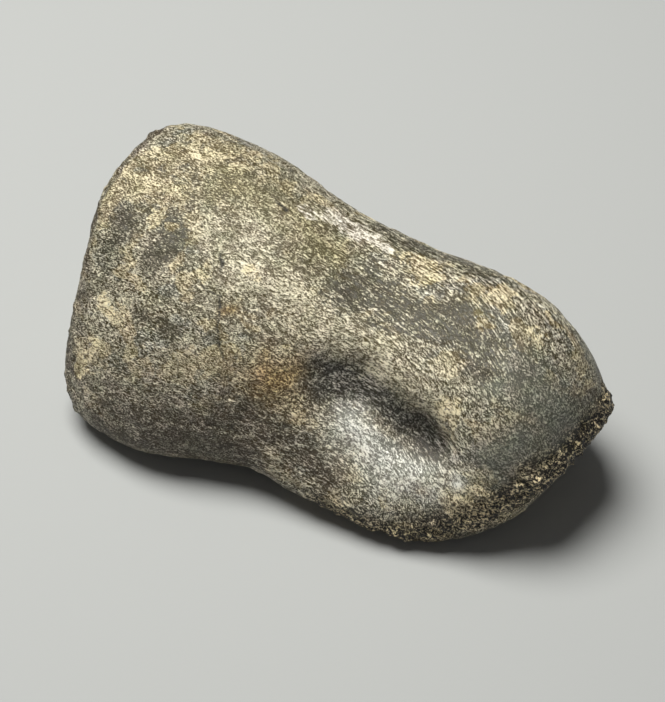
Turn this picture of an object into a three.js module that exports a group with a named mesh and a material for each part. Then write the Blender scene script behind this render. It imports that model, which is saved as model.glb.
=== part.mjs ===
// Fossil toe bone (pedal phalanx) of a large theropod, lying on its plantar side.
// Millimetres, +Z up. X runs along the bone from the joint socket to the rollers.
// The outer flank (-Y) leans back and carries the wide ligament pit, the inner one (+Y) stands upright.
import * as THREE from "three";
import { mergeVertices } from "three/addons/utils/BufferGeometryUtils.js";

// Driving sizes. X is measured from the socket face, Y from the middle plane, Z from the ground.
const LENGTH = 120;
const WIDTH = 67;
const HEIGHT = 52;
const ROLLER_RADIUS = 23;
const ROLLER_CENTRE = LENGTH - ROLLER_RADIUS;
const ROLLER_SKEW = 0.1;

// Sections across the bone: its top and underside, the rounding of its upper edges, and for each
// flank how far it stands out at its foot, how far it bulges between, and how far at its crown.
const SECTIONS = [
  { along: 0, top: 51.5, low: 3, round: 8, outer: [34.4, 1, 9], inner: [26, 2, 22] },
  { along: 14, top: 52, low: -0.3, round: 15, outer: [37.8, 8, 2], inner: [28, 2, 27] },
  { along: 30, top: 52, low: 1, round: 18, outer: [39.2, 10, 1], inner: [28, 2, 27] },
  { along: 50, top: 48, low: 2, round: 20, outer: [33.4, 9, 3], inner: [26, 1, 24.5] },
  { along: 70, top: 45, low: 2, round: 20, outer: [40, 1, 5], inner: [24, 1, 24] },
  { along: 90, top: 46, low: 0, round: 20, outer: [36.5, -1, 7], inner: [24, 1, 22] },
  { along: 106, top: 46, low: -0.3, round: 18, outer: [25.5, 4, 8], inner: [24, 1, 15] },
  { along: 120, top: 46, low: 0, round: 16, outer: [13, 6, 4], inner: [22, 2, 6] },
];
const SIZES_PER_SECTION = 9;
const OUTER_FOOT_ROUND = 13;
const INNER_FOOT_ROUND = 16;

// Furrow between the two rollers, shallow over the end and deeper underneath
const FURROW = { y: -3, halfWidth: 9, endDepth: 2, soleDepth: 5, start: 80, full: 104 };

// Hollows, each an ellipsoid with its centre, half sizes, turn about Y in degrees and edge rounding
const OUTER_PIT = { at: [77, -30, 27], size: [19, 16, 9.5], turn: -14, round: 6 };
const INNER_PIT = { at: [88, 31, 24], size: [13, 10, 11], turn: 0, round: 6 };
const TENDON_DENT = { at: [68, 2, 66], size: [22, 13, 23], turn: 0, round: 6 };
const SOLE_HOLLOW = { at: [54, -2, -29], size: [46, 26, 36], turn: 0, round: 8 };
const SOCKET = { at: [-54, 2, 25], size: [60, 46, 42], turn: 0, round: 3 };
const SOCKET_RIM_ROUND = 8;

// Block that is drawn in towards a core line inside the bone
const BLOCK_STEP = 2.8;
const CORE_START = 24;
const CORE_END = 94;
const CORE_HEIGHT = 15;
const REACH = 90;
const HALVINGS = 40;

const { clamp, lerp, smoothstep, degToRad } = THREE.MathUtils;

const sectionSizes = new THREE.CubicInterpolant(
  SECTIONS.map((section) => section.along),
  SECTIONS.flatMap(({ top, low, round, outer, inner }) => [top, low, round, ...outer, ...inner]),
  SIZES_PER_SECTION,
);

// Sizes of the section at any place along the bone.
function sectionAt(along) {
  const [top, low, round, ...flanks] = sectionSizes.evaluate(along);
  return { top, low, round, outer: flanks.slice(0, 3), inner: flanks.slice(3) };
}

// The larger of two distances, with the edge where they cross rounded off.
function roundedMax(a, b, round) {
  return Math.max(a, b) + Math.max(round - Math.abs(a - b), 0) ** 2 / (4 * round);
}

// Distance outside the side view: top and underside, closed by the round of the rollers.
function sideView(p, { top, low }) {
  const across = (p.y - FURROW.y) / FURROW.halfWidth;
  const depth = lerp(FURROW.soleDepth, FURROW.endDepth, smoothstep(p.z, 0, ROLLER_RADIUS));
  const furrow = depth * Math.exp(-across * across) * smoothstep(p.x, FURROW.start, FURROW.full);
  const ahead = p.x - ROLLER_CENTRE - ROLLER_SKEW * p.y;
  if (ahead > 0) return Math.hypot(ahead, p.z - ROLLER_RADIUS) - ROLLER_RADIUS + furrow;
  return Math.max(p.z - top, low - p.z) + furrow;
}

// Distance outside one flank, which leans from its foot to its crown.
function flankSide(out, z, top, [foot, bulge, crown]) {
  const rise = z / top;
  const stand = lerp(foot, crown, rise) + 4 * bulge * rise * (1 - rise);
  return (out - stand) / Math.hypot(1, (foot - crown) / top);
}

// Distance outside an ellipsoid.
function ellipsoid(p, { at, size, turn }) {
  const [dx, dy, dz] = [p.x - at[0], p.y - at[1], p.z - at[2]];
  const cos = Math.cos(degToRad(turn));
  const sin = Math.sin(degToRad(turn));
  const reach = Math.hypot((dx * cos + dz * sin) / size[0], dy / size[1], (dz * cos - dx * sin) / size[2]);
  return (reach - 1) * Math.min(...size);
}

// Distance outside the bone, negative inside it.
function outside(p) {
  const section = sectionAt(p.x);
  const rise = smoothstep(p.z, 0, section.top);
  const outer = flankSide(-p.y, p.z, section.top, section.outer);
  const inner = flankSide(p.y, p.z, section.top, section.inner);
  let d = roundedMax(sideView(p, section), outer, lerp(OUTER_FOOT_ROUND, section.round, rise));
  d = roundedMax(d, inner, lerp(INNER_FOOT_ROUND, section.round, rise));
  d = roundedMax(d, -p.x, SOCKET_RIM_ROUND);
  for (const hollow of [OUTER_PIT, INNER_PIT, TENDON_DENT, SOLE_HOLLOW, SOCKET]) {
    d = roundedMax(d, -ellipsoid(p, hollow), hollow.round);
  }
  return d;
}

// Moves each corner of a finely divided block along a straight line from the core to the bone's surface.
function carveBone() {
  const cuts = [LENGTH, WIDTH, HEIGHT].map((size) => Math.round(size / BLOCK_STEP));
  const block = new THREE.BoxGeometry(LENGTH, WIDTH, HEIGHT, ...cuts);
  block.deleteAttribute("normal");
  block.deleteAttribute("uv");
  const surface = mergeVertices(block);
  surface.translate(LENGTH / 2, 0, HEIGHT / 2);
  const corners = surface.getAttribute("position");
  const core = new THREE.Vector3();
  const ray = new THREE.Vector3();
  const probe = new THREE.Vector3();
  for (let i = 0; i < corners.count; i++) {
    ray.fromBufferAttribute(corners, i);
    core.set(clamp(ray.x, CORE_START, CORE_END), 0, CORE_HEIGHT);
    ray.sub(core).normalize();
    let inner = 0;
    let outer = REACH;
    for (let k = 0; k < HALVINGS; k++) {
      const middle = (inner + outer) / 2;
      probe.copy(core).addScaledVector(ray, middle);
      if (outside(probe) < 0) inner = middle;
      else outer = middle;
    }
    probe.copy(core).addScaledVector(ray, inner);
    corners.setXYZ(i, probe.x, probe.y, Math.max(probe.z, 0));
  }
  return surface;
}

const fossilBone = new THREE.MeshStandardMaterial({ color: 0x5d574b, roughness: 0.7, metalness: 0 });
const bone = new THREE.Mesh(carveBone(), fossilBone);
bone.name = "toe_bone";

// The origin is at the middle of the underside of the bone's box.
bone.geometry.computeBoundingBox();
const { min, max } = bone.geometry.boundingBox;
bone.position.set(-(min.x + max.x) / 2, -(min.y + max.y) / 2, -min.z);

const group = new THREE.Group();
group.add(bone);

export default group;
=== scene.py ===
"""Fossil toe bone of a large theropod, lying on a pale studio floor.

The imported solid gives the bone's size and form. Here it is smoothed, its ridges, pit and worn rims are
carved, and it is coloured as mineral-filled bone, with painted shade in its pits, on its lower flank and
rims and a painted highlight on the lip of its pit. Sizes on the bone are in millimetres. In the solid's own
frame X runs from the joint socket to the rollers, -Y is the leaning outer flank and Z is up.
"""
import math

import bmesh
import bpy
import numpy as np
from bpy.props import FloatProperty, FloatVectorProperty, IntProperty, PointerProperty
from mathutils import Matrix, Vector, noise
from mathutils.bvhtree import BVHTree


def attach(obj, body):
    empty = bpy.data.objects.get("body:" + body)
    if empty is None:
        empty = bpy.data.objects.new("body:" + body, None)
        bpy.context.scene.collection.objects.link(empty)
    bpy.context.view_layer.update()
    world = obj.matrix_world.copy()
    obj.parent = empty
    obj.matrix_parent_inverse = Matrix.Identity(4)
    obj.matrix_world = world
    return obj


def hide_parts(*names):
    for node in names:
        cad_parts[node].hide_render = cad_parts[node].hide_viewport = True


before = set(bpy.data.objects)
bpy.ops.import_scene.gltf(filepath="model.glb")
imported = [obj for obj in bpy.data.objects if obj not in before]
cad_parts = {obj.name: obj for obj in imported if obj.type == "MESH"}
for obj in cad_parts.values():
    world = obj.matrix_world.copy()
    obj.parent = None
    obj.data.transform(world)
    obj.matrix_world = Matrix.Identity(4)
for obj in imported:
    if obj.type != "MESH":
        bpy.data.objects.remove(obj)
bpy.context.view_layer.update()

bl_info = {
    "name": "Fossil Toe Bone",
    "version": (1, 0, 0),
    "blender": (4, 5, 0),
    "location": "View3D > Sidebar > Toe Bone",
    "description": "Carves and colours a fossil theropod toe bone and sets up its studio",
    "category": "Object",
}

MM = 0.001

# The photo's width and height in pixels, and its camera: turn, lift, distance, middle of the view and lens,
# with the width of the sensor and the nearest distance seen
PHOTO_SIZE = (665, 702)
PHOTO_TURN = math.radians(28)
PHOTO_LIFT = math.radians(45)
PHOTO_DISTANCE = 450
PHOTO_MIDDLE = (-1.7, 1.1, 21.3)
FOCAL_PIXELS = 2030
HALF_PIXEL = 0.5
SENSOR = 36.0
NEAREST_SEEN = 0.01

# A place on the bone has three numbers when it is in millimetres. With two numbers it is a pixel of the
# photo, and the script works out where that pixel falls on the solid.

# The hairline crack across the bone, from the upper flank down to the notch in the lower edge
CRACK = [(222, 250), (219, 288), (217, 341), (222, 356), (232, 373), (227, 416), (247, 464)]
NOTCH = [(-8.0, -27.0, 5.5)]
# Short open slits along the grain
SLITS = [[(277, 202), (286, 211)], [(195, 282), (207, 288), (220, 294)]]
# The shallow groove that the crack follows on the flank
GROOVE = [(217, 345), (231, 368), (229, 395)]

# The ridge over the pit, the pit's crescent and the lip below it
RIDGE = [(270, 275), (305, 300), (337, 322), (383, 345), (423, 382)]
PIT = [(3.0, -14.5, 27.5), (8.5, -12.0, 27.0), (368, 385), (388, 402), (408, 422), (425, 435)]
PIT_FLOOR = [(4.0, -13.0, 29.5), (9.5, -11.0, 29.0)]
PIT_MIDDLE = [(18.0, -9.5, 26.5)]
PIT_END = [(26.5, -13.0, 22.0), (31.0, -14.5, 21.5)]
LIP = [(12.0, -16.0, 20.5), (16.5, -17.0, 18.0), (24.0, -19.0, 16.5), (30.0, -18.5, 17.0)]
# The round pit of the inner flank and the ridge over it
INNER_PIT = [(28.0, 24.5, 24.0), (33.0, 25.0, 24.5)]
INNER_RIDGE = [(16.0, 27.0, 34.0), (28.0, 25.5, 33.5), (40.0, 23.0, 33.0)]
# The narrow middle of the lower flank
WAIST = [(250, 425), (280, 440), (305, 455), (10.0, -25.0, 14.5)]
# The upper edge of the socket end
SOCKET_TOP = [(130, 175), (170, 185)]
SOCKET_CROWN = [(200, 150), (235, 160)]

# The rim of the rollers, where the thin outer layer has worn off and the coarse inner bone shows
WORN_RIM = [
    (11.5, -28.5, 4.0), (25.5, -27.5, 3.5), (31.5, -26.0, 4.5), (440, 532), (470, 522), (500, 505),
    (530, 487), (56.0, -8.0, 21.0), (57.5, 0.0, 20.5), (59.5, 8.5, 19.5), (59.0, 15.0, 18.0),
]
LEDGE = [(53.0, -12.0, 20.0), (552, 470), (578, 442), (600, 415), (59.0, 12.0, 24.0)]

# Low forms carved on the smooth bone: line of places, reach and height
FORMS = [
    (RIDGE, 5.0, 0.9), (PIT_MIDDLE, 4.5, 1.0), (PIT_FLOOR, 5.5, -1.4), (PIT_END, 4.4, -2.8), (LIP, 4.5, 1.2),
    (WAIST, 6.0, -0.8), (LEDGE, 2.8, 1.8), (NOTCH, 1.6, -1.2), (INNER_PIT, 6.0, -2.2),
    (INNER_RIDGE, 4.0, 0.8), (GROOVE, 1.3, -0.6),
]

# Markings of each finish: line of places and reach
MARKINGS = {
    "cream": [
        ([(12.5, 14.0, 42.5), (432, 272)], 3.6),
        ([(31.0, 14.0, 44.5), (34.0, 14.0, 44.0)], 2.2),
        ([(537, 335)], 2.2),
        ([(485, 320)], 2.4),
        ([(448, 407), (33.5, -14.5, 27.0)], 2.8),
        (SOCKET_TOP, 2.6),
        (SOCKET_CROWN, 2.4),
        ([(-43.0, -0.5, 47.0), (-43.0, -5.0, 45.0)], 1.6),
        ([(100, 300), (112, 310)], 1.9),
        ([(80, 370), (90, 345)], 2.0),
        ([(37.5, -20.5, 16.0), (475, 500)], 4.0),
        ([(248, 275)], 1.8),
        ([(200, 273)], 2.0),
        ([(172, 224)], 1.4),
        ([(-47.0, 32.5, 38.0), (-40.0, 33.0, 35.0)], 3.2),
        ([(-16.0, 31.0, 33.0), (-10.0, 29.5, 31.0)], 2.4),
        ([(14.0, 28.0, 30.0)], 2.4),
        ([(40.0, 26.5, 13.0), (47.0, 24.5, 16.0)], 2.8),
        ([(-56.0, 12.0, 14.0)], 3.0),
        ([(-57.0, -8.0, 34.0)], 2.6),
    ],
    "tan": [(SOCKET_TOP, 8.0), (SOCKET_CROWN, 6.5)],
    "chalk": [
        ([(230, 270), (-14.0, -5.0, 41.5), (-5.0, -6.0, 39.0)], 5.6),
        ([(-5.0, -6.0, 39.0), (12.0, -6.0, 36.5), (404, 382), (428, 385)], 5.6),
        ([(308, 356), (356, 334)], 2.6),
        ([(428, 406)], 2.4),
        ([(-28.5, -1.0, 46.0), (250, 228), (262, 248)], 6.0),
        ([(-4.0, 27.5, 35.0), (14.0, 26.5, 35.0)], 4.5),
    ],
    "bare": [
        ([(-40.5, -2.0, 46.5), (170, 238), (-40.0, -10.5, 41.5)], 3.4),
        ([(125, 215), (110, 265)], 3.2),
        ([(170, 330), (-38.0, -19.0, 33.0)], 2.4),
        ([(1.5, 0.0, 40.0), (365, 290), (9.0, 4.0, 40.5), (12.0, 1.0, 39.5), (17.0, 1.0, 40.0)], 5.4),
        ([(2.0, 20.5, 43.0), (15.5, 21.5, 41.0), (26.0, 20.0, 42.0)], 4.5),
        ([(18.0, 2.0, 40.0), (30.0, 3.0, 42.0), (36.0, -3.0, 39.0)], 4.6),
        ([(465, 370)], 2.6),
        ([(-38.0, 33.5, 28.0), (-28.0, 33.5, 22.0)], 4.6),
        ([(-4.0, 29.5, 20.0), (8.0, 29.0, 15.0)], 5.0),
        ([(-55.5, 2.0, 30.0), (-54.0, 10.0, 24.0)], 5.0),
    ],
    "rust": [
        ([(-6.5, -19.0, 28.0), (288, 376)], 6.0),
        ([(227, 306)], 1.6),
        ([(-24.0, 32.5, 12.0), (-15.0, 31.0, 14.0)], 5.0),
        ([(-57.0, -9.0, 20.0)], 6.0),
    ],
    "olive": [([(-32.0, 10.0, 50.5), (285, 215), (325, 250)], 7.0)],
    "scuff": [
        ([(300, 208), (312, 214)], 1.8),
        ([(330, 212), (360, 230)], 3.0),
        ([(360, 230), (388, 250)], 2.4),
    ],
    "roller": [
        ([(45.0, -4.5, 38.0), (545, 400), (560, 430)], 8.0),
        ([(520, 440), (490, 460)], 6.0),
        ([(53.5, 15.5, 33.0), (53.5, 20.5, 24.0), (53.0, 20.0, 12.0)], 5.5),
    ],
    # Painted shade in the ligament pits, over the dark mineral in them
    "pit": [(PIT, 3.4), (PIT_FLOOR, 4.2), (PIT_END, 4.8), (INNER_PIT, 5.5)],
    # Painted highlight on the lip below the pit, over its grey bone
    "lip": [(LIP, 5.8), ([(455, 482)], 2.5)],
    # Painted shade with some dirt: darker on the narrow waist, over the lower left of the outer flank and
    # along the foot of the inner flank, where the bone nears the floor
    "soil": [
        (WAIST, 5.4),
        ([(120, 420), (200, 440), (235, 445)], 12.0),
        ([(-45.0, 31.0, 4.0), (-20.0, 29.0, 4.0), (0.0, 26.5, 4.0)], 6.0),
        ([(0.0, 26.5, 4.0), (25.0, 26.0, 4.0), (46.0, 25.0, 4.0)], 6.0),
    ],
}

# How the solid is smoothed: points closer than this are one, in metres, how flat and how square two
# triangles are that join, in radians, rounds of division and how strongly each round of smoothing works
SAME_POINT = 0.001 * MM
FLAT_PAIR, SQUARE_PAIR = 0.7, 0.9
DIVISIONS = 2
EASING = 0.5

# Noises that the surface and the markings are made with: length of the swells along X, Y and Z, octaves, and
# a shift that keeps one noise apart from another
NOISES = {
    "unevenness": ((16, 12, 12), 3, 0.0),
    "grain": ((5.0, 1.2, 1.2), 2, 0.0),
    "lumps": ((4.0, 3.0, 3.0), 3, 20.0),
    "pores": ((1.8, 1.1, 1.1), 1, 50.0),
    "crumbs": ((2.6, 2.0, 2.0), 3, 0.0),
    "ash": ((9, 7, 7), 4, 140.0),
    "tan": ((8, 6, 6), 4, 70.0),
    "end": ((4, 4, 4), 2, 0.0),
    # This noise breaks up the painted shade on the socket's rim
    "stain": ((7, 7, 7), 3, 90.0),
    "gape": ((9, 9, 9), 1, 0.0),
}
# Fall-off power of a noise's octaves, and how much finer each one is than the one before
FALL_OFF, FINER = 1.0, 2.0

# Ragged edges: length of the swells that shift a point and how far they shift it, then the octaves of those
# swells and what keeps the three directions of the shift apart
PATCH_EDGE = (6.0, 2.2)
WORN_EDGE = (4.0, 1.6)
CRACK_EDGE = (4.0, 0.9)
EDGE_OCTAVES = 2
EDGE_SHIFT = 31.0

# Where something starts and where it is full. The noises and the facing towards the socket have no unit, and
# the rest are millimetres.
ASH_FROM = (0.0, 0.5)
TAN_FROM = (-0.05, 0.45)
# The next range is for the noise of the socket rim's painted shade
RIM_SHADE_FROM = (-0.25, 0.25)
PORE_FROM = (0.35, 0.7)
GAPE_FROM = (-0.3, 0.3)
RIM_FACING = (0.25, 0.5)
SOCKET_FACING = (0.8, 0.95)
SOCKET_END = (40, 50)
WORN_FADE = (0.5, 8.0)
LEDGE_FADE = (2.0, 7.0)
# Below these heights the crack fades in places, by so much on each side. Its deepest part reaches so far.
CRACK_FADES = (30, 38)
CRACK_NARROWS = 0.5
CRACK_FLOOR = 0.1
# Least square of a line's length, for a line that is one place only
NO_LENGTH = 1e-9
# Wavering of the socket's edge, least strength of the painted shade on its rim, and polish of its face
END_WAVER = 0.12
RIM_SHADE_LEAST = 0.6
SOCKET_POLISH = 0.6
# How much of the fine relief the smooth rollers and lip lose, the socket rim's share of the wear, and how
# far the crumbs sink
SMOOTHNESS = 0.7
RIM_SHARE = 0.6
CRUMB_SINK = 0.2

# Sockets of a Mix node, for numbers and for colours
FACTOR, LOW, HIGH = 0, 2, 3
FIRST, SECOND, RESULT = 6, 7, 2

# Each finish laid over the plain bone, in order: how much lighter its grain gets, and its roughness
FINISHES = {
    # The darkening low on the flank and on the socket's rim is painted shade with some dirt
    "ash": (-0.4, 0.5), "tan": (0.65, 0.6), "olive": (0.0, 0.55), "soil": (-1.75, 0.6),
    "chalk": (1.15, 0.55), "rust": (-0.1, 0.6), "roller": (-0.3, 0.42), "bare": (-1.7, 0.5),
    # The lip finish lightens the lip below the outer pit as a painted highlight over its grey bone
    # The pit finish darkens the ligament pits: partly dark mineral, partly painted shade
    "cream": (1.5, 0.65), "lip": (0.95, 0.34), "pit": (-1.6, 0.6), "scuff": (1.6, 0.65),
    # The worn rims are dark spongy bone, darkened further as painted shade along the rollers' lower edge
    "worn": (-1.8, 0.6),
}
# Finishes that fade out evenly, where the others end in ragged flecks, or for scuffs in streaks
FADING = {"olive", "soil", "chalk", "rust", "roller", "lip", "pit", "worn"}
# Gain and shift of those flecks and streaks, and where a finish that they break up starts and is full
FLECK_GAIN, FLECK_SHIFT = 4.5, -1.25
STREAK_GAIN, STREAK_SHIFT = 2.6, -0.3
BROKEN_FROM, BROKEN_FULL = 0.25, 0.7
BONE_ROUGHNESS = 0.55
BONE_IOR = 1.55

# Patterns of the bone: size along, across and up in millimetres, detail, and share in the mix of light and
# dark. Real bone fibres are finer, and are drawn a little coarser so that they show.
PATTERNS = {
    "short": ((0.5, 0.18, 0.18), 0.3, 13.0),
    "long": ((0.9, 0.18, 0.18), 0.3, 13.0),
    "upright": ((0.2, 0.2, 0.6), 0.3, 10.0),
    "crumb": ((1.5, 0.9, 0.6), 2.0, 34.0),
    "thread": ((0.9, 0.36, 0.36), 0.3, 6.0),
    "mottle": ((1.8, 0.8, 0.8), 0.3, 4.5),
    "streak": ((5.0, 0.5, 0.5), 0.3, 11.5),
    "fleck": ((3.0, 2.4, 2.4), 4.0, 4.0),
    "cloud": ((11.0, 8.0, 8.0), 3.0, 3.6),
}
PATTERN_ROUGHNESS, PATTERN_DISTORTION = 0.6, 0.8
# Middle of a noise, and the width of the pale threads as noise on each side of it
NOISE_MIDDLE = 0.5
THREAD_EDGE = 0.2
# Levels of the mix that are fully dark and fully light, and how steeply it lightens
DARK_LEVEL, LIGHT_LEVEL, LIGHT_POWER = -2.4, 3.2, 2.0
# Size in millimetres, detail and strength of the mixed hues of the minerals in the grain
TINT, TINT_DETAIL, TINT_SHARE = 4.0, 2.0, 0.09
# Distance from the crack's middle within which it is darkest, where it is gone, and how dark it is
CRACK_DARK, CRACK_GONE, CRACK_DARKNESS = 0.2, 0.55, 0.95
# Strength of the fine bumps, and their height in metres on the bone and on its worn rims
BUMP_STRENGTH = 0.9
BUMP_HEIGHT, WORN_BUMP_HEIGHT = 0.25 * MM, 0.45 * MM

# The grain runs along the bone near the socket and turns towards the outer flank at the rollers. It is short
# near the socket and long towards the rollers, and upright where the surface faces along the bone.
TURN_START, TURN_END = 0.0, 50.0
FIRST_TURN, LAST_TURN = math.radians(8), math.radians(26)
LONG_FROM, LONG_FULL = -45.0, 15.0
UPRIGHT_FROM, UPRIGHT_FULL = 0.45, 0.75

# Tooth of the floor's paper in metres, and its other settings
PAPER_TOOTH = 0.8 * MM
PAPER_DETAIL = 2.0
PAPER_BUMP, PAPER_BUMP_HEIGHT = 0.1, 0.1 * MM
PAPER_ROUGHNESS = 0.9

# The stage in metres: half the floor's width, and each lamp's place, width and power setting
FLOOR_HALF = 2.0
LAMPS = {
    "key": ((-0.25, 0.04, 0.82), 0.55, "key_power"),
    "fill": ((0.5, -0.8, 0.6), 0.8, "fill_power"),
}
LAMP_COLOUR = (1.0, 0.99, 0.92)
ROOM_COLOUR = (1.0, 0.98, 0.95, 1.0)


def linear(code):
    """Linear red, green and blue of an sRGB hex colour."""
    shares = [int(code[i:i + 2], 16) / 255 for i in (1, 3, 5)]
    return tuple(s / 12.92 if s <= 0.04045 else ((s + 0.055) / 1.055) ** 2.4 for s in shares)


def colour(name, description, code):
    """A colour setting whose default is an sRGB hex value."""
    return FloatVectorProperty(name=name, description=description, subtype="COLOR", size=3, min=0, max=1,
                               default=linear(code))


class ToeBoneShape(bpy.types.PropertyGroup):
    """Sizes of the carved surface."""

    mesh_step: FloatProperty(
        name="Mesh step", description="Width of one face of the carved surface", default=0.56 * MM,
        min=0.3 * MM, max=3 * MM, precision=5, unit="LENGTH")
    unevenness: FloatProperty(
        name="Unevenness", description="Height of the broad, low swells of the surface", default=0.35 * MM,
        min=0, max=2 * MM, precision=5, unit="LENGTH")
    grain_height: FloatProperty(
        name="Grain height", description="Height of the ridges that run along the bone", default=0.16 * MM,
        min=0, max=1 * MM, precision=5, unit="LENGTH")
    lump_height: FloatProperty(
        name="Lump height", description="Height of the small lumps of the weathered surface",
        default=0.22 * MM, min=0, max=1 * MM, precision=5, unit="LENGTH")
    pore_depth: FloatProperty(
        name="Pore depth", description="Depth of the small pores", default=0.25 * MM,
        min=0, max=1 * MM, precision=5, unit="LENGTH")
    crack_width: FloatProperty(
        name="Crack width", description="Reach of the hairline crack to each side", default=0.6 * MM,
        min=0.1 * MM, max=3 * MM, precision=5, unit="LENGTH")
    crack_depth: FloatProperty(
        name="Crack depth", description="Depth of the hairline crack", default=0.2 * MM,
        min=0, max=2 * MM, precision=5, unit="LENGTH")
    rim_wear: FloatProperty(
        name="Rim wear", description="Height of the crumbs on the worn rims", default=1.0 * MM,
        min=0, max=3 * MM, precision=5, unit="LENGTH")
    smoothing: IntProperty(
        name="Smoothing", description="Rounds of smoothing before the surface is carved", default=12,
        min=0, max=100)


class ToeBoneColours(bpy.types.PropertyGroup):
    """Colours of each finish: the mineral in its hollows and the grain that stands up."""

    bone_low: colour("Bone, hollows", "Dark mineral between the grains", "#3C3210")
    bone_high: colour("Bone, grain", "Pale raised grain", "#F0E8D0")
    ash_low: colour("Ash grey, hollows", "Dark mineral, greyer than the rest", "#383420")
    ash_high: colour("Ash grey, grain", "Pale grain, greyer than the rest", "#ECE7D6")
    tan_low: colour("Tan, hollows", "Brown mineral", "#54451A")
    tan_high: colour("Tan, grain", "Warm tan grain", "#EEE1C0")
    chalk_low: colour("Chalky bone, hollows", "Grey-brown bone along the ridge", "#5A5030")
    chalk_high: colour("Chalky bone, grain", "Pale weathered grain along the ridge", "#F0E7CE")
    cream_low: colour("Sediment, hollows", "Bone that shows through cream sediment", "#5E4E22")
    cream_high: colour("Sediment", "Cream sediment left in the grain", "#F0E3C0")
    bare_low: colour("Bare mineral, hollows", "Dark mineral with no sediment on it", "#342E18")
    bare_high: colour("Bare mineral, grain", "Dull pale grain of the bare mineral", "#E2DBC4")
    rust_low: colour("Rust, hollows", "Dark iron stain", "#533A12")
    rust_high: colour("Rust, grain", "Iron stain on the grain", "#E8CA92")
    olive_low: colour("Olive, hollows", "Greenish brown tint of the upper side", "#4E441C")
    olive_high: colour("Olive, grain", "Greenish brown tint on the grain", "#E0D6B0")
    scuff_low: colour("Scuff, hollows", "Bone beside fresh scuffs", "#7E745E")
    scuff_high: colour("Scuff", "Fresh pale scuffs", "#F6EFE2")
    roller_low: colour("Roller, hollows", "Smooth dark grey-green bone of the rollers", "#54554A")
    roller_high: colour("Roller, grain", "Faint grain of the rollers", "#B6B4A4")
    # Partly the black mineral of the pits, partly painted shade in their hollows
    pit_low: colour("Pit, hollows", "Black mineral in the ligament pit", "#26231A")
    pit_high: colour("Pit, grain", "Pale grey grain in the ligament pit", "#D6D1C6")
    # Grey bone of the lip, lightened and whitened as a painted highlight
    lip_low: colour("Lip, hollows", "Grey bone on the lip of the pit", "#84837A")
    lip_high: colour("Lip, grain", "Grey-white grain on the lip of the pit", "#FAF9F2")
    # Painted shade with some dirt, low on the flank and on the socket's rim
    soil_low: colour("Lower flank, hollows", "Dark brown stain low on the flank", "#342A19")
    soil_high: colour("Lower flank, grain", "Pale grey-brown grain low on the flank", "#D9D0BD")
    # Dark spongy bone of the worn rims, darkened further as painted shade along the rollers' lower edge
    worn_low: colour("Worn bone, hollows", "Dark holes of the worn spongy bone", "#120B05")
    worn_high: colour("Worn bone, crumbs", "Pale tan crumbs of the worn spongy bone", "#FFEBC0")


class ToeBoneStage(bpy.types.PropertyGroup):
    """Camera, floor and lights."""

    azimuth: FloatProperty(
        name="Azimuth", description="Turn of the camera round the bone, 0 looks along +Y",
        default=PHOTO_TURN, subtype="ANGLE")
    elevation: FloatProperty(
        name="Elevation", description="Height of the camera above the floor", default=PHOTO_LIFT,
        subtype="ANGLE")
    distance: FloatProperty(
        name="Distance", description="Camera to the middle of the view", default=PHOTO_DISTANCE * MM,
        min=0.1, unit="LENGTH", subtype="DISTANCE")
    target: FloatVectorProperty(
        name="Middle of the view", description="Point that the camera looks at", size=3,
        default=tuple(value * MM for value in PHOTO_MIDDLE), unit="LENGTH", subtype="TRANSLATION")
    lens: FloatProperty(
        name="Lens", description="Focal length in millimetres",
        default=SENSOR * FOCAL_PIXELS / max(PHOTO_SIZE), min=10, max=300)
    floor_colour: colour("Floor", "Pale studio floor", "#B0B2B4")
    key_power: FloatProperty(
        name="Key light", description="Power of the soft light above the bone", default=10.4, min=0,
        unit="POWER")
    fill_power: FloatProperty(
        name="Fill light", description="Power of the weak light on the camera's side", default=0.3, min=0,
        unit="POWER")
    room_light: FloatProperty(
        name="Room light", description="Strength of the even light of the room", default=0.08, min=0)


def view_axes(turn, lift):
    """Directions of a view: from its middle towards the camera, to the right and up."""
    back = Vector((math.sin(turn) * math.cos(lift), -math.cos(turn) * math.cos(lift), math.sin(lift)))
    right = Vector((math.cos(turn), math.sin(turn), 0))
    return back, right, back.cross(right)


def on_bone(solid, line):
    """A line of places in millimetres, with each pixel of the photo carried along its ray onto the solid."""
    back, right, up = view_axes(PHOTO_TURN, PHOTO_LIFT)
    eye = Vector(PHOTO_MIDDLE) + back * PHOTO_DISTANCE
    places = []
    for place in line:
        if len(place) == 2:
            from_middle = [at + HALF_PIXEL - size / 2 for at, size in zip(place, PHOTO_SIZE)]
            across, down = [pixels / FOCAL_PIXELS for pixels in from_middle]
            hit, *_ = solid.ray_cast(eye, right * across - up * down - back)
            if hit is None:
                raise ValueError(f"no bone at pixel {place}")
            place = hit
        places.append(np.array(place))
    return places


def field(points, size, octaves):
    """Noise at each point, about -1 to 1, whose swells are as long as size along X, Y and Z."""
    scaled = (points / np.array(size)).tolist()
    return np.array([noise.fractal(p, FALL_OFF, FINER, octaves) for p in scaled])


def named_noise(points, name):
    """One of the bone's noises at each point."""
    size, octaves, shift = NOISES[name]
    return field(points + shift, size, octaves)


def ramp(values, low, high):
    """0 below low, 1 above high and a smooth rise between."""
    share = np.clip((values - low) / (high - low), 0, 1)
    return share * share * (3 - 2 * share)


def gap_to_line(points, line):
    """Distance of each point to the nearest of a line's straight pieces, or to its only place."""
    gap = np.full(len(points), np.inf)
    for start, end in zip(line, line[1:] or line):
        run = end - start
        from_start = points - start
        share = np.clip(from_start @ run / max(run @ run, NO_LENGTH), 0, 1)
        gap = np.minimum(gap, np.linalg.norm(from_start - share[:, None] * run, axis=1))
    return gap


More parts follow.
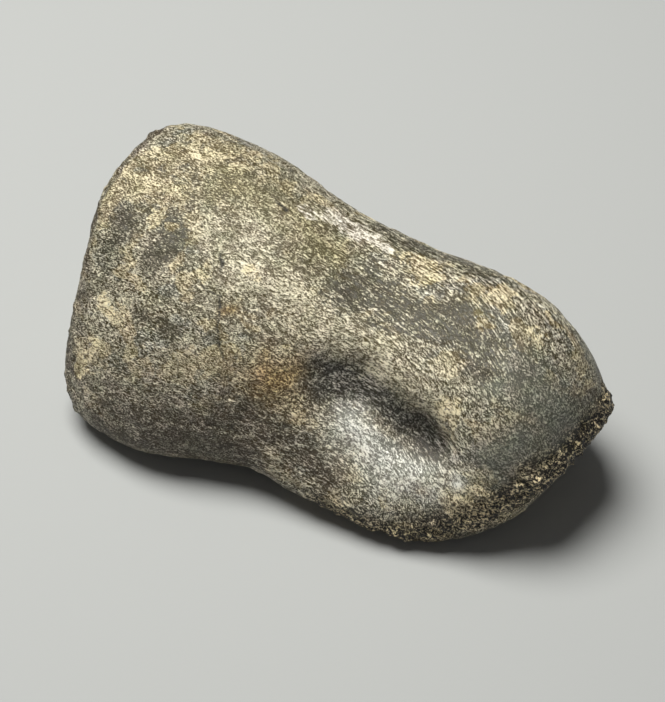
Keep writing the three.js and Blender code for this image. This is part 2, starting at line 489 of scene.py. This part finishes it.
def swell(points, line, reach):
    """1 on a line of places, falling off smoothly over a reach."""
    return np.exp(-(gap_to_line(points, line) / reach) ** 2)


def wander(points, swells, amount):
    """Points shifted a little, each way by its own noise, so that what they draw gets ragged edges."""
    shifts = [field(points + k * EDGE_SHIFT, (swells,) * 3, EDGE_OCTAVES) for k in range(3)]
    return points + amount * np.stack(shifts, axis=1)


def smooth_blank(node, shape):
    """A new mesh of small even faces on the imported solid's form, with its facets smoothed away."""
    facets = bmesh.new()
    facets.from_mesh(node.data)
    bmesh.ops.remove_doubles(facets, verts=facets.verts, dist=SAME_POINT)
    bmesh.ops.join_triangles(facets, faces=facets.faces, angle_face_threshold=FLAT_PAIR,
                             angle_shape_threshold=SQUARE_PAIR)
    mesh = bpy.data.meshes.new("blank")
    facets.to_mesh(mesh)
    facets.free()
    blank = bpy.data.objects.new("blank", mesh)
    bpy.context.scene.collection.objects.link(blank)
    rounded = blank.modifiers.new("rounded", "SUBSURF")
    rounded.levels = DIVISIONS
    even = blank.modifiers.new("even", "REMESH")
    even.mode = "VOXEL"
    even.voxel_size = shape.mesh_step
    eased = blank.modifiers.new("eased", "SMOOTH")
    eased.factor = EASING
    eased.iterations = shape.smoothing
    graph = bpy.context.evaluated_depsgraph_get()
    made = bpy.data.meshes.new_from_object(blank.evaluated_get(graph))
    bpy.data.objects.remove(blank)
    bpy.data.meshes.remove(mesh)
    return made


def marks(points, normals, solid):
    """Strength of each finish at each point, 0 to 1, and the distance to the crack in millimetres."""
    strength = {}
    ragged = wander(points, *PATCH_EDGE)
    for kind, patches in MARKINGS.items():
        swells = [swell(ragged, on_bone(solid, line), reach) for line, reach in patches]
        strength[kind] = np.max(swells, axis=0)
    strength["ash"] = ramp(named_noise(points, "ash"), *ASH_FROM)
    strength["tan"] = np.maximum(strength["tan"], ramp(named_noise(points, "tan"), *TAN_FROM))

    # The worn rims, also painted darker as shade along the rollers' lower edge
    frayed = wander(points, *WORN_EDGE)
    rim = 1 - ramp(gap_to_line(frayed, on_bone(solid, WORN_RIM)), *WORN_FADE)
    ledge = 1 - ramp(gap_to_line(frayed, on_bone(solid, LEDGE)), *LEDGE_FADE)
    strength["worn"] = np.maximum(rim, ledge)

    # The socket end: a rim darkened with painted shade, round a smooth, grey face
    endwise = -normals[:, 0] + END_WAVER * named_noise(points, "end")
    at_socket = ramp(-points[:, 0], *SOCKET_END)
    inside = ramp(endwise, *SOCKET_FACING)
    strength["rim"] = ramp(endwise, *RIM_FACING) * (1 - inside) * at_socket
    # The rim's painted shade, broken up by a noise, is added to the darkening low on the flank
    stain = RIM_SHADE_LEAST + (1 - RIM_SHADE_LEAST) * ramp(named_noise(points, "stain"), *RIM_SHADE_FROM)
    strength["soil"] = np.maximum(strength["soil"], stain * strength["rim"])
    strength["roller"] = np.maximum(strength["roller"], SOCKET_POLISH * inside * at_socket)

    # The crack fades in places on the lower flank
    low = 1 - ramp(points[:, 2], *CRACK_FADES)
    faint = CRACK_NARROWS * ramp(named_noise(points, "gape"), *GAPE_FROM) * low
    shaken = wander(points, *CRACK_EDGE)
    gaps = [gap_to_line(shaken, on_bone(solid, line)) for line in (CRACK, *SLITS)]
    strength["crack"] = np.min(gaps, axis=0) + faint
    return strength


def relief(points, shape, strength, solid):
    """Height of the carved surface over the smooth one, in millimetres."""
    height = shape.unevenness / MM * named_noise(points, "unevenness")
    for line, reach, tall in FORMS:
        height += tall * swell(points, on_bone(solid, line), reach)
    quiet = 1 - SMOOTHNESS * np.maximum(strength["roller"], strength["lip"])
    cos, sin = math.cos(LAST_TURN), math.sin(LAST_TURN)
    turned = points @ np.array([[cos, sin, 0], [-sin, cos, 0], [0, 0, 1]])
    height += shape.grain_height / MM * quiet * named_noise(turned, "grain")
    height += shape.lump_height / MM * quiet * named_noise(points, "lumps")
    height -= shape.pore_depth / MM * quiet * ramp(named_noise(points, "pores"), *PORE_FROM)
    rough = np.maximum(strength["worn"], RIM_SHARE * strength["rim"])
    height += shape.rim_wear / MM * rough * (named_noise(points, "crumbs") - CRUMB_SINK)
    height -= shape.crack_depth / MM * (1 - ramp(strength["crack"], CRACK_FLOOR, shape.crack_width / MM))
    return height


def carve_bone(node, shape):
    """The bone's fine mesh, with the strength of each finish kept on its points."""
    corners = [corner.co / MM for corner in node.data.vertices]
    solid = BVHTree.FromPolygons(corners, [tuple(face.vertices) for face in node.data.polygons])
    mesh = smooth_blank(node, shape)
    count = len(mesh.vertices)
    points = np.empty(count * 3)
    mesh.vertices.foreach_get("co", points)
    points = points.reshape(-1, 3) / MM
    normals = np.empty(count * 3)
    mesh.vertex_normals.foreach_get("vector", normals)
    normals = normals.reshape(-1, 3)
    strength = marks(points, normals, solid)
    points += normals * relief(points, shape, strength, solid)[:, None]
    points[:, 2] = np.maximum(points[:, 2], 0)
    mesh.vertices.foreach_set("co", (points * MM).ravel())
    for kind, values in strength.items():
        layer = mesh.attributes.new(kind, "FLOAT", "POINT")
        layer.data.foreach_set("value", values.astype(np.float32))
    mesh.shade_smooth()
    mesh.update()
    return mesh


def add(tree, kind, inputs=None, **settings):
    """Adds a node, sets it up and links or fills its sockets."""
    made = tree.nodes.new("ShaderNode" + kind)
    for name, value in settings.items():
        setattr(made, name, value)
    for socket, value in (inputs or {}).items():
        if isinstance(value, bpy.types.NodeSocket):
            tree.links.new(value, made.inputs[socket])
        else:
            made.inputs[socket].default_value = value
    return made


def bone_patterns(tree, mm, along):
    """Each pattern of the bone, 0 to 1, laid along the turning grain."""
    turn = add(tree, "MapRange", {0: along, 1: TURN_START, 2: TURN_END, 3: FIRST_TURN, 4: LAST_TURN},
               interpolation_type="SMOOTHSTEP").outputs[0]
    turned = add(tree, "VectorRotate", {"Vector": mm, "Angle": turn}, rotation_type="Z_AXIS").outputs[0]
    pattern = {}
    for name, (size, detail, _) in PATTERNS.items():
        scaled = add(tree, "VectorMath", {0: turned, 1: size}, operation="DIVIDE").outputs[0]
        grain = add(tree, "TexNoise", {
            "Vector": scaled, "Scale": 1.0, "Detail": detail, "Roughness": PATTERN_ROUGHNESS,
            "Distortion": PATTERN_DISTORTION})
        pattern[name] = grain.outputs[0]

    # Threads are the lines where their noise crosses its middle
    apart = add(tree, "Math", {0: pattern["thread"], 1: NOISE_MIDDLE}, operation="SUBTRACT").outputs[0]
    apart = add(tree, "Math", {0: apart}, operation="ABSOLUTE").outputs[0]
    pattern["thread"] = add(tree, "MapRange", {0: apart, 1: 0.0, 2: THREAD_EDGE, 3: 1.0, 4: 0.0}).outputs[0]
    return pattern


def grain_level(tree, pattern, along, worn):
    """Lightness of the plain bone: its patterns, each swinging round 0 by its share."""
    swing = {}
    for name, (_, _, share) in PATTERNS.items():
        around = {0: pattern[name], 1: share, 2: -share / 2}
        swing[name] = add(tree, "Math", around, operation="MULTIPLY_ADD").outputs[0]
    towards = add(tree, "MapRange", {0: along, 1: LONG_FROM, 2: LONG_FULL},
                  interpolation_type="SMOOTHSTEP").outputs[0]
    facing = add(tree, "SeparateXYZ", {0: add(tree, "NewGeometry").outputs["Normal"]}).outputs[0]
    endwise = add(tree, "Math", {0: facing}, operation="ABSOLUTE").outputs[0]
    on_end = add(tree, "MapRange", {0: endwise, 1: UPRIGHT_FROM, 2: UPRIGHT_FULL},
                 interpolation_type="SMOOTHSTEP").outputs[0]
    level = swing["short"]
    for share, name in ((towards, "long"), (on_end, "upright")):
        level = add(tree, "Mix", {FACTOR: share, LOW: level, HIGH: swing[name]}).outputs[0]
    level = add(tree, "Math", {0: level, 1: swing["thread"]}, operation="ADD").outputs[0]
    level = add(tree, "Math", {0: worn, 1: swing["crumb"], 2: level}, operation="MULTIPLY_ADD").outputs[0]
    mottle = add(tree, "Mix", {FACTOR: towards, LOW: swing["mottle"], HIGH: swing["streak"]}).outputs[0]
    for part in (mottle, swing["fleck"], swing["cloud"]):
        level = add(tree, "Math", {0: level, 1: part}, operation="ADD").outputs[0]
    return level


def permineralised_bone(colours):
    """Bone whose pores have filled with mineral, then weathered and brushed clean.

    The eye sees dark mineral between pale raised grain that runs along the bone, a dull sheen on the worn
    rollers and on the lip of the pit, and cream and rust sediment that stays in patches. Painted shade
    darkens the ligament pits, the socket's rim, the lower flank and the worn rims of the rollers, and a
    painted highlight lightens the lip of the pit.
    """
    material = bpy.data.materials.new("permineralised_bone")
    material.use_nodes = True
    tree = material.node_tree
    tree.nodes.clear()
    place = add(tree, "TexCoord").outputs["Object"]
    mm = add(tree, "VectorMath", {0: place, "Scale": 1 / MM}, operation="SCALE").outputs[0]
    along = add(tree, "SeparateXYZ", {0: mm}).outputs[0]
    paint = {name: (*getattr(colours, name), 1.0) for name in ToeBoneColours.__annotations__}
    mark = {kind: add(tree, "Attribute", attribute_name=kind).outputs["Fac"] for kind in FINISHES}
    pattern = bone_patterns(tree, mm, along)
    level = grain_level(tree, pattern, along, mark["worn"])

    # Each finish shifts the lightness and takes the place of the colours and the roughness below it
    flecks = {0: pattern["fleck"], 1: FLECK_GAIN, 2: FLECK_SHIFT}
    ragged = add(tree, "Math", flecks, operation="MULTIPLY_ADD").outputs[0]
    streaks = {0: pattern["streak"], 1: STREAK_GAIN, 2: STREAK_SHIFT}
    streaky = add(tree, "Math", streaks, operation="MULTIPLY_ADD").outputs[0]
    low, high, rough = paint["bone_low"], paint["bone_high"], BONE_ROUGHNESS
    for kind, (lift, roughness) in FINISHES.items():
        share = mark[kind]
        if kind not in FADING:
            edge = streaky if kind == "scuff" else ragged
            broken = add(tree, "Math", {0: edge, 1: share}, operation="MULTIPLY").outputs[0]
            share = add(tree, "MapRange", {0: broken, 1: BROKEN_FROM, 2: BROKEN_FULL},
                        interpolation_type="SMOOTHSTEP").outputs[0]
        level = add(tree, "Math", {0: share, 1: lift, 2: level}, operation="MULTIPLY_ADD").outputs[0]
        low = add(tree, "Mix", {FACTOR: share, FIRST: low, SECOND: paint[kind + "_low"]},
                  data_type="RGBA").outputs[RESULT]
        high = add(tree, "Mix", {FACTOR: share, FIRST: high, SECOND: paint[kind + "_high"]},
                   data_type="RGBA").outputs[RESULT]
        rough = add(tree, "Mix", {FACTOR: share, LOW: rough, HIGH: roughness}).outputs[0]

    # Colour: from dark hollows to pale grain, with a little of the minerals' mixed hues and the crack
    risen = add(tree, "MapRange", {0: level, 1: DARK_LEVEL, 2: LIGHT_LEVEL}).outputs[0]
    raised = add(tree, "Math", {0: risen, 1: LIGHT_POWER}, operation="POWER").outputs[0]
    skin = add(tree, "Mix", {FACTOR: raised, FIRST: low, SECOND: high}, data_type="RGBA").outputs[RESULT]
    hues = add(tree, "TexNoise", {"Vector": mm, "Scale": 1 / TINT, "Detail": TINT_DETAIL}).outputs["Color"]
    skin = add(tree, "Mix", {FACTOR: TINT_SHARE, FIRST: skin, SECOND: hues}, data_type="RGBA",
               blend_type="OVERLAY").outputs[RESULT]
    gap = add(tree, "Attribute", attribute_name="crack").outputs["Fac"]
    span = {0: gap, 1: CRACK_DARK, 2: CRACK_GONE, 3: CRACK_DARKNESS, 4: 0.0}
    open_crack = add(tree, "MapRange", span).outputs[0]
    skin = add(tree, "Mix", {FACTOR: open_crack, FIRST: skin, SECOND: paint["pit_low"]},
               data_type="RGBA").outputs[RESULT]

    stand = add(tree, "Mix", {FACTOR: mark["worn"], LOW: BUMP_HEIGHT, HIGH: WORN_BUMP_HEIGHT}).outputs[0]
    bump = add(tree, "Bump", {"Height": risen, "Strength": BUMP_STRENGTH, "Distance": stand}).outputs[0]
    shader = add(tree, "BsdfPrincipled", {
        "Base Color": skin, "Roughness": rough, "Normal": bump, "IOR": BONE_IOR})
    add(tree, "OutputMaterial", {"Surface": shader.outputs[0]})
    return material


def matt_paper(paint):
    """Matt seamless paper: an even, pale surface with a barely visible tooth."""
    material = bpy.data.materials.new("matt_paper")
    material.use_nodes = True
    tree = material.node_tree
    tree.nodes.clear()
    place = add(tree, "TexCoord").outputs["Object"]
    grit = {"Vector": place, "Scale": 1 / PAPER_TOOTH, "Detail": PAPER_DETAIL}
    tooth = add(tree, "TexNoise", grit).outputs[0]
    rise = {"Height": tooth, "Strength": PAPER_BUMP, "Distance": PAPER_BUMP_HEIGHT}
    bump = add(tree, "Bump", rise).outputs[0]
    shader = add(tree, "BsdfPrincipled", {
        "Base Color": (*paint, 1.0), "Roughness": PAPER_ROUGHNESS, "Normal": bump})
    add(tree, "OutputMaterial", {"Surface": shader.outputs[0]})
    return material


def lay_floor(scene, stage):
    """The floor that the bone lies on."""
    mesh = bpy.data.meshes.new("studio_floor")
    corners = [(x * FLOOR_HALF, y * FLOOR_HALF, 0) for x, y in ((-1, -1), (1, -1), (1, 1), (-1, 1))]
    mesh.from_pydata(corners, [], [(0, 1, 2, 3)])
    floor = bpy.data.objects.new("studio_floor", mesh)
    scene.collection.objects.link(floor)
    mesh.materials.append(matt_paper(stage.floor_colour))


def hang_lamps(scene, stage):
    """The soft lamps, turned to the middle of the view, and the even light of the room."""
    for name, (place, width, power) in LAMPS.items():
        lamp = bpy.data.lights.new(name, "AREA")
        lamp.shape = "DISK"
        lamp.size = width
        lamp.energy = getattr(stage, power)
        lamp.color = LAMP_COLOUR
        light = bpy.data.objects.new(name, lamp)
        light.location = place
        light.rotation_euler = (Vector(stage.target) - Vector(place)).to_track_quat("-Z", "Y").to_euler()
        scene.collection.objects.link(light)
    world = bpy.data.worlds.new("room")
    world.use_nodes = True
    room = world.node_tree.nodes["Background"]
    room.inputs["Color"].default_value = ROOM_COLOUR
    room.inputs["Strength"].default_value = stage.room_light
    scene.world = world


def place_camera(scene, stage):
    """The camera at the photo's viewing angle."""
    back = view_axes(stage.azimuth, stage.elevation)[0]
    lens = bpy.data.cameras.new("camera")
    lens.sensor_width = SENSOR
    lens.lens = stage.lens
    lens.clip_start = NEAREST_SEEN
    camera = bpy.data.objects.new("camera", lens)
    camera.location = Vector(stage.target) + back * stage.distance
    camera.rotation_euler = (-back).to_track_quat("-Z", "Y").to_euler()
    scene.collection.objects.link(camera)
    scene.camera = camera
    scene.view_settings.view_transform = "Standard"


class TOEBONE_OT_carve(bpy.types.Operator):
    """Carve the bone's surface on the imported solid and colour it"""

    bl_idname = "toe_bone.carve"
    bl_label = "Carve Toe Bone"

    def execute(self, context):
        scene = context.scene
        mesh = carve_bone(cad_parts["toe_bone"], scene.toe_bone_shape)
        bone = bpy.data.objects.new("fossil_toe_bone", mesh)
        scene.collection.objects.link(bone)
        bone.data.materials.append(permineralised_bone(scene.toe_bone_colours))
        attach(bone, "root")
        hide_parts("toe_bone")
        return {"FINISHED"}


class TOEBONE_OT_stage(bpy.types.Operator):
    """Set up the floor, the lights and the camera"""

    bl_idname = "toe_bone.stage"
    bl_label = "Set Up Stage"

    def execute(self, context):
        scene = context.scene
        for step in (lay_floor, hang_lamps, place_camera):
            step(scene, scene.toe_bone_stage)
        return {"FINISHED"}


class TOEBONE_PT_panel(bpy.types.Panel):
    """Settings and steps of the toe bone"""

    bl_label = "Toe Bone"
    bl_idname = "TOEBONE_PT_panel"
    bl_space_type = "VIEW_3D"
    bl_region_type = "UI"
    bl_category = "Toe Bone"

    def draw(self, context):
        scene = context.scene
        for group in (scene.toe_bone_shape, scene.toe_bone_colours, scene.toe_bone_stage):
            column = self.layout.column()
            for name in type(group).__annotations__:
                column.prop(group, name)
        for step in (TOEBONE_OT_carve, TOEBONE_OT_stage):
            self.layout.operator(step.bl_idname)


SETTINGS = {
    "toe_bone_shape": ToeBoneShape,
    "toe_bone_colours": ToeBoneColours,
    "toe_bone_stage": ToeBoneStage,
}
CLASSES = (*SETTINGS.values(), TOEBONE_OT_carve, TOEBONE_OT_stage, TOEBONE_PT_panel)


def register():
    for cls in CLASSES:
        bpy.utils.register_class(cls)
    for name, group in SETTINGS.items():
        setattr(bpy.types.Scene, name, PointerProperty(type=group))


def unregister():
    for name in SETTINGS:
        delattr(bpy.types.Scene, name)
    for cls in reversed(CLASSES):
        bpy.utils.unregister_class(cls)


def main():
    register()
    bpy.ops.toe_bone.carve()
    bpy.ops.toe_bone.stage()


if __name__ == "__main__":
    main()
